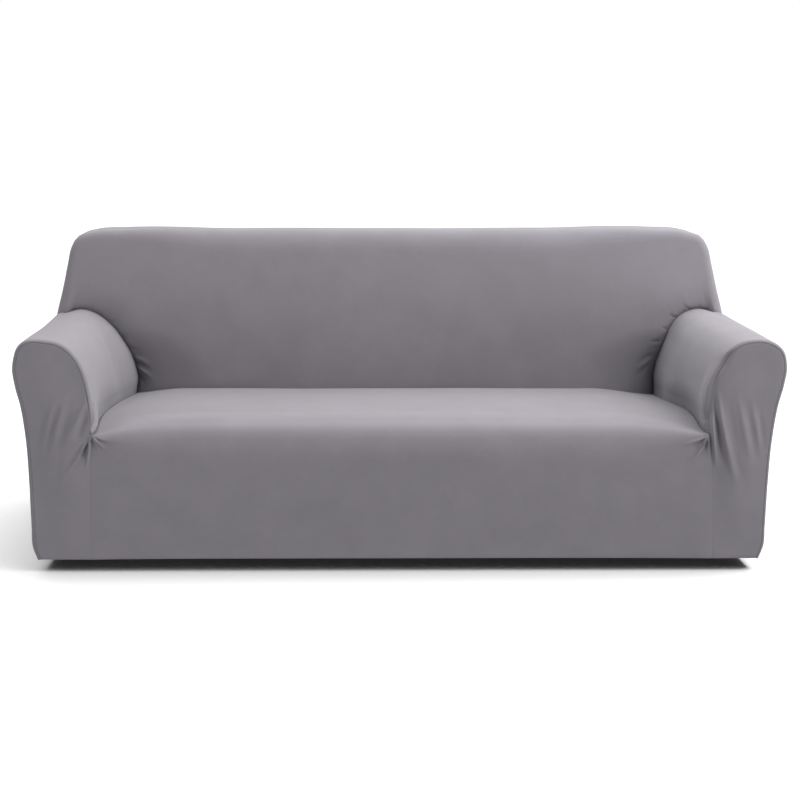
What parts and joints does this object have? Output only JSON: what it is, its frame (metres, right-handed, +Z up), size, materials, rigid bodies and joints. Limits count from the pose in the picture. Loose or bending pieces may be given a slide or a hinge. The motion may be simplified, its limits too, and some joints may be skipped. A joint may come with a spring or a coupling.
{
  "type": "sofa slipcover",
  "caption": "Stretch-knit slipcover fitted over a rolled-arm sofa, tucked at the seat creases, hollow inside and open at its elastic hem.",
  "frame": {"origin": "under the middle of the cover, level with the lowest point of its hem, about 58 mm above the floor when fitted", "axes": "+Z up, -Y towards the front of the sofa, +X to the right of someone facing the front"},
  "size_m": [2.151, 0.8937, 0.8792],
  "materials": {
    "knit": "matte brushed stretch knit"
  },
  "bodies": {
    "root": {"seat_front": "knit", "inner_back": "knit", "outer_back": "knit", "arm_left": "knit", "arm_right": "knit", "arm_front_left": "knit", "arm_front_right": "knit"}
  },
  "joints": []
}
